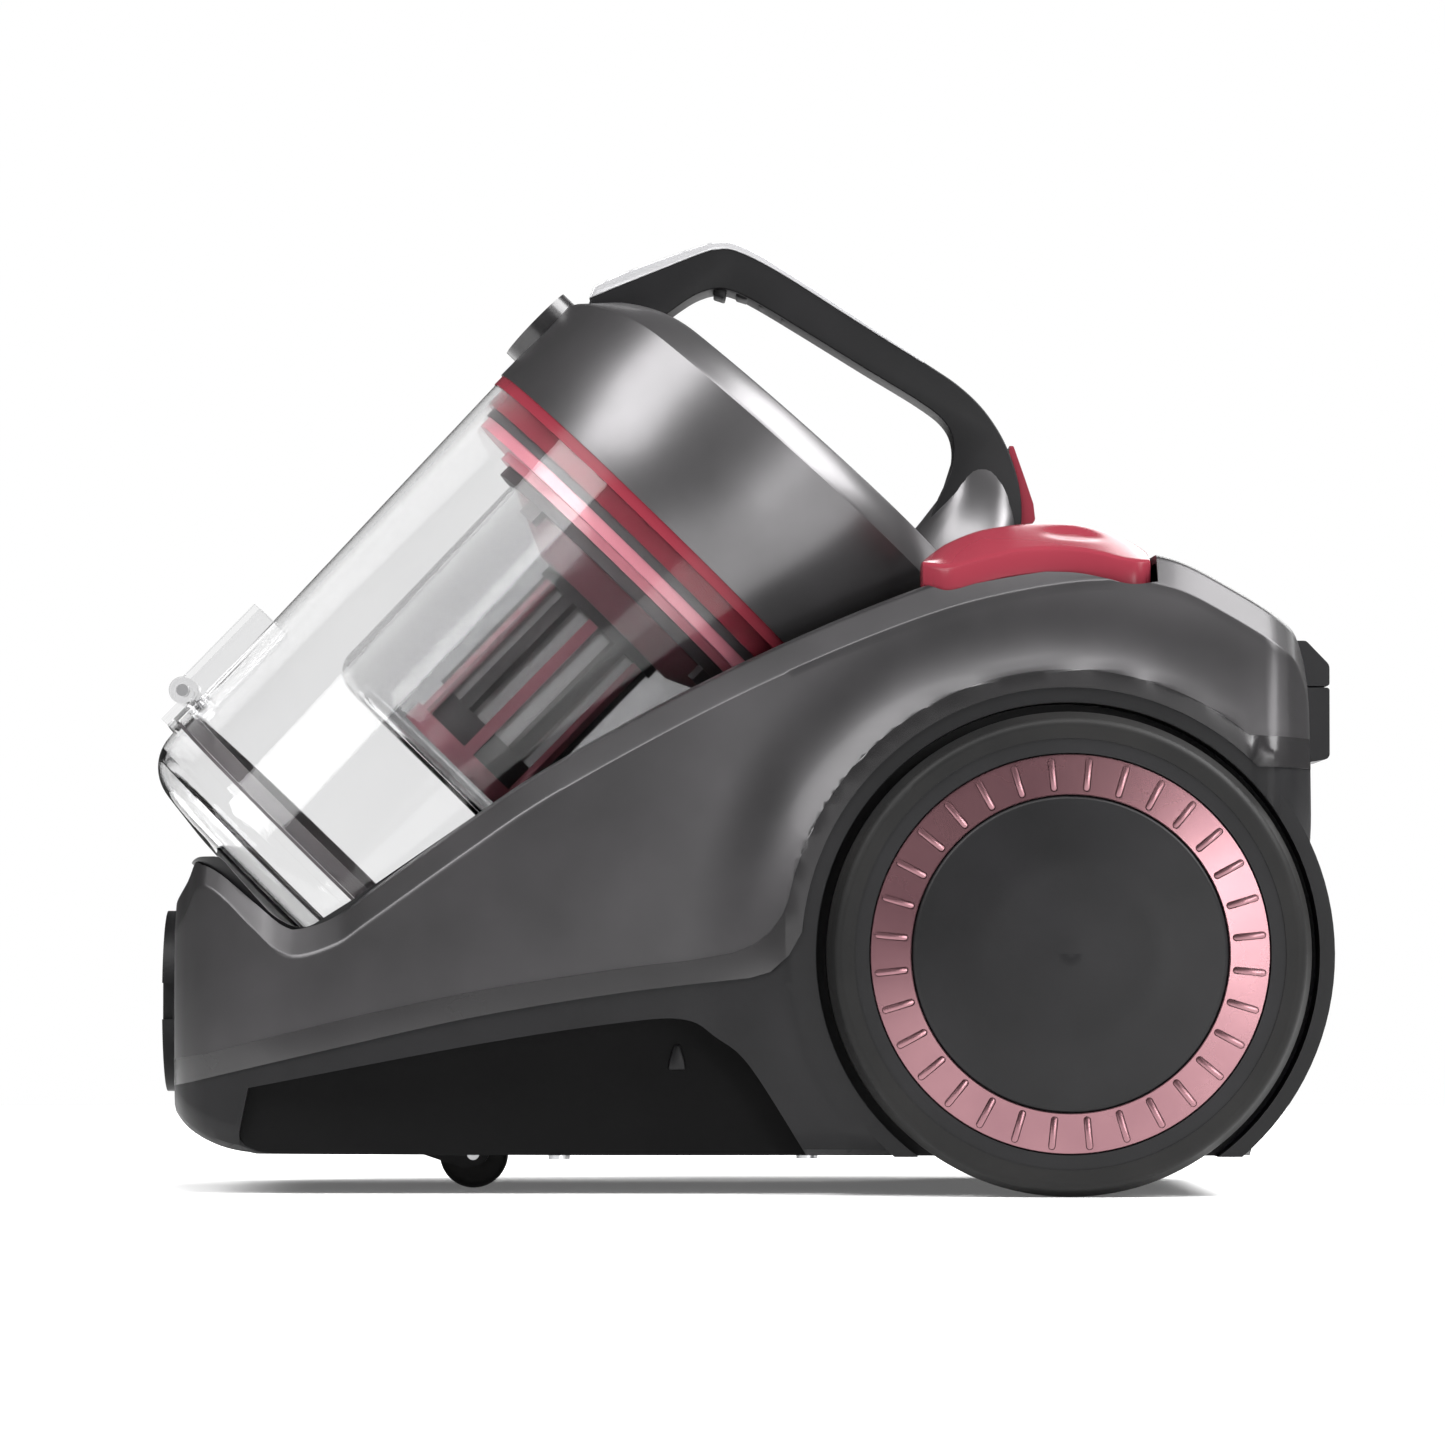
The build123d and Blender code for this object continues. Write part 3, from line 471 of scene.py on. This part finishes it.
def region(line, radius, rear):
    """Prism of everything below a line and inside the circle round the wheel."""
    under_trim = radius == ARCH_LIP
    start = pi - 0.13 if under_trim else pi - 0.19
    end = 0.78 if under_trim else 0.88
    arc = circle(radius, 96, WHEEL_X, WHEEL_Z, start, end)
    first = (-210, line[0][1] - 6)
    outline = [first, *line, *arc, (210, rear), (210, -20), (-210, -20)]
    return prism("region", outline, -140, 140, sideways)


def bin_cutter(radius):
    """The bin's bay: a round bar along the bin with a rounded lower end."""
    vertices = []
    rings = [(-186.6, radius - 22), (-184, radius - 10), (-178, radius - 3), (-168, radius - 1),
             (-150, radius), (160, radius)]
    for up, ring in rings:
        vertices += [in_bin(ring * cos(2 * pi * i / 160), ring * sin(2 * pi * i / 160), up)
                     for i in range(160)]
    return skinned("bin_cutter", vertices, 160)


def rod(name, x_low, x_high, radius, y, z, count=96):
    """Round bar along X, used as a cutter."""
    points = [(x, a, b) for x in (x_low, x_high) for a, b in circle(radius, count, y, z)]
    return skinned(name, points, count)


def shell_of(grow, *clips):
    """Hollow body skin, cut by (cutter, operation) pairs."""
    piece = body_loft(grow)
    for cutter, how in clips:
        carve(piece, cutter, how)
    carve(piece, body_loft(grow, SKIN))
    carve(piece, bin_cutter(BAY_RADIUS))
    for side in (-1, 1):
        carve(piece, prism("well", circle(ARCH_LIP, 160, WHEEL_X, WHEEL_Z), side * WELL_INSIDE,
                           side * WELL_OUTSIDE, sideways))
    carve(piece, rod("hose", -205, -150, HOSE_RADIUS, 0, HOSE_HEIGHT))
    return piece


def make_lower_housing():
    piece = body_loft(-0.3)
    carve(piece, region(low_line, ARCH_LIP, LOWER_REAR), "INTERSECT")
    recess = smooth_line([(-160, 34.2), (-86.3, 48.3), (-37.5, 55.6), (-19, 56.2), (-9.4, 50.6),
                          (1.4, 41.4), (19.5, 12.9)], 6)
    outline = recess + [(22, 0), (-163, 0), (-163, 20)]
    for side, depth in RECESS_SIDES:
        carve(piece, prism("recess", outline, side * depth, side * 140, sideways))
        # a sheet in a black darker than the housing lies over each recess floor: painted shade in the recess
        panel = prism(f"recess_shade_panel_{depth}", outline, side * (depth - 0.5), side * (depth + 0.4),
                      sideways)
        carve(panel, body_loft(-1.5), "INTERSECT")
        dress(panel, paint["painted_shade_black"], "body")
    # small boss that stands out of the recess
    boss = [(-24.8, 40), (-19.2, 40), (-19.6, 43), (-21, 48), (-23, 48), (-24.4, 43)]
    for side, depth in RECESS_SIDES:
        knob = prism(f"recess_boss_{depth}", boss, side * depth, side * (depth + 2), sideways)
        dress(knob, paint["body_black"], "body", (), 30, 0.6)
    core = body_loft(-0.3, SKIN)
    hold = [(-170, 0), (24, 0), (24, 75), (-170, 75)]
    for side, depth in ((-1, 78), (1, 97)):
        carve(core, prism("hold", hold, side * depth, side * 140, sideways))
    carve(piece, core)
    carve(piece, bin_cutter(BAY_RADIUS))
    for side in (-1, 1):
        carve(piece, prism("well", circle(80.6, 160, WHEEL_X, WHEEL_Z), side * WELL_INSIDE,
                           side * WELL_OUTSIDE, sideways))
    carve(piece, rod("hose", -205, -150, HOSE_RADIUS, 0, HOSE_HEIGHT))
    carve(piece, prism("window", [(150, 70), (200, 70), (200, 125), (150, 125)], -46, 46, sideways))
    carve(piece, prism("pocket", circle(36, 96, -112, 0), -5, 25, lambda a, b, depth: (a, b, depth)))
    dress(piece, paint["body_black"], "body", ["lower_housing"], 30, 0.4)
    piece.name = "lower_shell"
    even_normals(piece)


def make_trim():
    piece = shell_of(0.5, (region(high_line, TRIM_RADIUS, TRIM_REAR), "INTERSECT"),
                     (region(low_line, ARCH_LIP, LOWER_REAR), "DIFFERENCE"))
    dress(piece, paint["trim_graphite"], "body", ["trim_band"], 22)
    piece.name = "trim_shell"
    even_normals(piece)


def make_upper_housing():
    piece = shell_of(0, (region(high_line, TRIM_RADIUS, TRIM_REAR), "DIFFERENCE"))
    for side in (-1, 1):
        lip = [(x, z) for x, z in pedal_foot] + [(131.6, 240), (56.3, 240)]
        carve(piece, prism("pedal_mouth", lip, side * 57, side * 130, sideways))
        well = []
        for row in pedal_rows:
            x = row[0] + (-0.9 if row is pedal_rows[0] else 0.9 if row is pedal_rows[-1] else 0)
            for y, z in ((57, row[1] - 6.5), (row[4] + 0.5, row[1] - 6.5), (row[4] + 0.5, 240), (57, 240)):
                well.append((x, side * y, z))
        carve(piece, skinned("pedal_well", well, 4))
    dress(piece, paint["body_graphite"], "body", ["upper_housing"], 30, 0.5)
    piece.name = "upper_shell"
    even_normals(piece)


# ---- foot pedals ---------------------------------------------------------------------------------
# at each x: heights of the side face's foot, its upper edge and the crest, then the reach outwards
pedal_rows = [
    (57.2, 197.4, 203.2, 204.4, 89), (61, 195.2, 202.2, 207.6, 92.5), (66, 194.2, 201.5, 210.9, 95.4),
    (75, 196.6, 203.8, 214.6, 96), (83, 198.9, 205.8, 216.2, 96.2), (90, 199.9, 206.8, 217, 96.4),
    (98, 200.1, 207.2, 217.4, 96.6), (107, 199.6, 206.8, 217, 97), (115, 198, 205.4, 215.4, 97.5),
    (122, 196.2, 203.6, 212.8, 98), (127, 196, 203.2, 210.2, 97.4), (130.4, 196.8, 203.4, 208, 94.5),
]
pedal_foot = smooth_line([(56.3, 197.4)] + [row[:2] for row in pedal_rows[1:-1]] + [(132.5, 196.8)], 6)


def make_pedal(side, name, node, body):
    """Foot pedal with a shallow hollow for the toe."""
    vertices = []
    dense = list(zip(*(smooth_line([(row[0], row[k]) for row in pedal_rows], 5) for k in (1, 2, 3, 4))))
    for foot, edge, crest, outer in dense:
        x = foot[0]
        low, rim, top, wide = foot[1] - 1.6, edge[1], crest[1], outer[1]
        loop = [(58.4, low), (wide - 1, low), (wide, low + 1), (wide, rim - 1.2), (wide - 0.5, rim),
                (wide - 1.7, rim + 0.8)]
        for k in range(1, 13):
            share = k / 12
            climb = 1 - (1 - share) ** 1.12
            y = wide - 1.7 - (wide - 69.7) * share
            z = rim + 0.8 + (top - rim - 0.8) * climb
            hollow = ((x - 106) / 8.5) ** 2 + ((y - 79) / 6) ** 2
            z -= 1.1 * exp(-hollow ** 2)
            loop.append((y, z))
        loop += [(62, top - 0.4), (59.2, top - 1), (58.4, top - 2)]
        vertices += [(x, side * y, z) for y, z in loop]
    piece = skinned(name, vertices, 21)
    dress(piece, paint["red_tint"], body, [node], 28, 0.5)


SPRING_X, SPRING_Y, SPRING_FOOT = 99.7, 81, 190.6
COIL_RADIUS, WIRE_RADIUS, COIL_TURNS = 4.3, 0.6, 3.5


def make_pedal_spring(side, name):
    """Coil under a foot pedal."""
    vertices = []
    steps, low, high = 120, 191.2, 197.2
    for i in range(steps + 1):
        turn = 2 * pi * COIL_TURNS * i / steps
        rise = low + (high - low) * i / steps
        for k in range(8):
            a = 2 * pi * k / 8
            reach = COIL_RADIUS + WIRE_RADIUS * cos(a)
            vertices.append((SPRING_X + reach * cos(turn), side * SPRING_Y + reach * sin(turn),
                             rise + WIRE_RADIUS * sin(a)))
    spring = skinned(name, vertices, 8)
    dress(spring, paint["steel"], "body", ["pedal_springs"], 60)
    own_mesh(spring)


# ---- bin lid and handle --------------------------------------------------------------------------
LID_RADIUS = 81.0


def lid_solid(name, inset, low):
    """Drum with a chamfered rim; the top slopes up a little to the back."""
    around = 144
    vertices = []

    def ring(radius, height):
        for i in range(around):
            turn = 2 * pi * i / around
            back, side = radius * cos(turn), radius * sin(turn)
            vertices.append(in_bin(back, side, height(LID_RADIUS * cos(turn))))

    def droop(back):
        return 9.5 * (max(0, -back - 46) / 35) ** 2.2

    ring(LID_RADIUS - inset, lambda back: low)
    ring(LID_RADIUS - inset, lambda back: 0.6 * (46 + 0.05 * back - droop(back)) - inset)
    ring(LID_RADIUS - inset, lambda back: 45.2 + 0.05 * back - droop(back) - inset)
    ring(LID_RADIUS - 0.7 - inset, lambda back: 46.4 + 0.05 * back - droop(back) - inset)
    ring(LID_RADIUS - 8 - inset, lambda back: 53.9 + 0.048 * back - droop(back) - inset)
    ring(LID_RADIUS - 9.6 - inset, lambda back: 54.7 + 0.046 * back - droop(back) - inset)
    ring(LID_RADIUS - 12 - inset, lambda back: 54.6 + 0.04 * back - droop(back) - inset)
    ring(LID_RADIUS - 16 - inset, lambda back: 52.4 + 0.03 * back - 0.8 * droop(back) - inset)
    ring(48 - inset, lambda back: 50.6 + 0.02 * back - 0.5 * droop(back) - inset)
    ring(16, lambda back: 50.3 + 0.005 * back - inset)
    return skinned(name, vertices, around)


def bin_rod(name, radius, up, back_low, back_high, count=72):
    """Round bar along the back direction of the bin, used as a cutter."""
    points = [in_bin(back, side, height) for back in (back_low, back_high)
              for side, height in circle(radius, count, 0, up)]
    return skinned(name, points, count)


def make_lid():
    piece = lid_solid("lid_shell", 0, 0)
    carve(piece, lid_solid("lid_core", SKIN, -8))
    carve(piece, bin_rod("button_hole", 14.5, 20.7, -100, -60))
    carve(piece, bin_rod("port_hole", 16, 24, 40, 120))
    dress(piece, paint["graphite_metal"], "bin", ["bin_lid"], 26, 0.5)


handle_outside = smooth_line([(-52, 293), (-49, 298), (-40, 302.6), (-24, 308.4), (-14, 311.8),
                              (-8.5, 313), (-2, 312.2), (12, 304.4), (40, 286.6), (62, 272.6),
                              (72, 265.6), (80, 257.6), (86.6, 247), (91, 234), (92, 222), (90, 212)], 6)
handle_inside = smooth_line([(60, 216), (63.5, 227), (68.4, 238), (69.4, 247), (66.4, 254.2),
                             (58, 261), (40, 272), (18, 285.6), (4, 294), (-3, 297.4), (-9, 298.6),
                             (-16, 296.6), (-24, 291.4), (-32, 285)], 6)


def make_handle():
    outline = handle_outside + handle_inside
    piece = prism("handle_arch", outline, -14.6, 14.6, sideways)
    dress(piece, paint["body_black"], "bin", ["handle"], 30, 3.4, 4)
    # short ribs under the front corner
    for k, z in enumerate((298.2, 297.8, 294.6, 290.2)):
        x = -10 + 7.5 * k
        slat = [(x, z + 2.5), (x + 4.2, z + 0.6), (x + 3.4, z - 2.6), (x - 0.4, z - 1.4)]
        rib = prism(f"handle_rib_{k}", slat, -10, 10, sideways)
        dress(rib, paint["body_black"], "bin", (), 30, 0.5)
    # pale cover over the top of the front arm, thinner towards the back
    cover_top = [(-50, 299.4), (-40, 303.9), (-24, 309.8), (-14, 313.1), (-8.5, 314.1), (-1.6, 313.1),
                 (12.5, 305.3), (40, 287.5), (60, 274.6)]
    cover_depth = [4.2, 4.6, 4, 3.2, 2.6, 2.2, 1.6, 1.3, 1]
    cover_low = [(x - 0.4 * d, z - d) for (x, z), d in zip(cover_top, cover_depth)]
    cover = prism("handle_cover", smooth_line(cover_top, 6) + smooth_line(cover_low, 6)[::-1],
                  -14.9, 14.9, sideways)
    dress(cover, paint["pale_metal"], "bin", ["handle_shell"], 30, 0.6, 3)
    # foot that spreads into the lid; its lighter graphite, against the black arms, is a painted highlight for the
    # light caught on the glossy flare
    vertices = []
    rows = 22
    for row in range(rows + 1):
        share = row / rows
        z = 243 - 36 * share
        front = height_at([(0, 69.5), (0.35, 65.5), (0.62, 58), (0.85, 50.5), (1, 46)], share)
        back = height_at([(0, 88.5), (0.3, 91.4), (0.6, 92), (1, 90.5)], share)
        half = 14.4 + 15 * share ** 2.1
        for i in range(48):
            turn = 2 * pi * i / 48
            c, s = cos(turn), sin(turn)
            reach = (abs(c) ** 3.2 + abs(s) ** 3.2) ** (-1 / 3.2)
            vertices.append(((front + back) / 2 + (back - front) / 2 * c * reach, half * s * reach, z))
    foot = skinned("handle_foot", vertices, 48)
    # lighter graphite on the foot: painted highlight on the flare
    dress(foot, paint["graphite_metal"], "bin", (), 40)


# ---- wheels --------------------------------------------------------------------------------------
RING_SLOTS = 32
RING_MIDDLE = 57


def turned(name, side, section, count=192):
    """Ring turned round the wheel's axle from (radius, distance from the middle) points."""
    vertices = []
    for i in range(count):
        turn = 2 * pi * i / count
        vertices += [(WHEEL_X + r * cos(turn), side * y, WHEEL_Z + r * sin(turn)) for r, y in section]
    rows = len(section)
    faces = []
    for i in range(count):
        for k in range(rows):
            a, b = i * rows + k, i * rows + (k + 1) % rows
            c, d = (i + 1) % count * rows + (k + 1) % rows, (i + 1) % count * rows + k
            faces.append((a, b, c, d))
    return loose(name, vertices, faces)


def pill(name, side, turn, grow, low, high):
    """Radial bar with round ends, between two depths."""
    half, length = 0.95 + grow, 4.2
    outline = [(RING_MIDDLE + length + half * cos(a), half * sin(a)) for a in
               (-pi / 2 + pi * i / 8 for i in range(9))]
    outline += [(RING_MIDDLE - length + half * cos(a), half * sin(a)) for a in
                (pi / 2 + pi * i / 8 for i in range(9))]

    def place(a, b, depth):
        return (WHEEL_X + a * cos(turn) - b * sin(turn), side * depth,
                WHEEL_Z + a * sin(turn) + b * cos(turn))

    return prism(name, outline, low, high, place)


def joined(name, pieces):
    """One object out of several."""
    cage = bmesh.new()
    for piece in pieces:
        cage.from_mesh(piece.data)
    mesh = bpy.data.meshes.new(name)
    cage.to_mesh(mesh)
    cage.free()
    for piece in pieces:
        bpy.data.objects.remove(piece)
    whole = bpy.data.objects.new(name, mesh)
    scene.collection.objects.link(whole)
    return whole


def make_wheel_ring(side, name, body):
    section = [(50.5, 124.2), (63.5, 124.2), (63.5, 126.1), (63.2, 126.5), (50.8, 128.3), (50.5, 128)]
    ring = turned(f"ring_{name}", side, section)
    turns = [2 * pi * (k + 0.5) / RING_SLOTS for k in range(RING_SLOTS)]
    carve(ring, joined("slots", [pill("slot", side, t, 0.25, 125.2, 130) for t in turns]))
    dress(ring, paint["ring_pink"], body, [f"wheel_ring_{name}"], 30)
    bars = joined(f"ring_bars_{name}", [pill("bar", side, t, 0, 124.8, 127.3) for t in turns])
    dress(bars, paint["ring_pink"], body, (), 30, 0.15)


make_camera()
make_world()
make_floor()
soft_light("key", (-1.5, -1.25, 1.75), (1.4, 1.6), 85)
soft_light("face", (0.80, -2.35, 0.20), (0.35, 0.8), 20)
soft_light("fill", (1.9, -1.3, 1.5), (1.0, 1.2), 38)
soft_light("top", (1.45, -0.15, 1.75), (1.3, 1.5), 100)
soft_light("above", (0.1, -0.9, 2.3), (1.6, 0.7), 45)
soft_light("back", (0.9, 2.2, 1.2), (2.0, 1.0), 25)
make_lower_housing()
make_trim()
make_upper_housing()
make_pedal(-1, "pedal_plate_left", "pedal_left", "power_pedal")
make_pedal(1, "pedal_plate_right", "pedal_right", "rewind_pedal")
make_pedal_spring(-1, "pedal_spring_left")
make_pedal_spring(1, "pedal_spring_right")
make_lid()
make_handle()
make_wheel_ring(-1, "left", "wheel_left")
make_wheel_ring(1, "right", "wheel_right")

scene.view_settings.view_transform = "Standard"
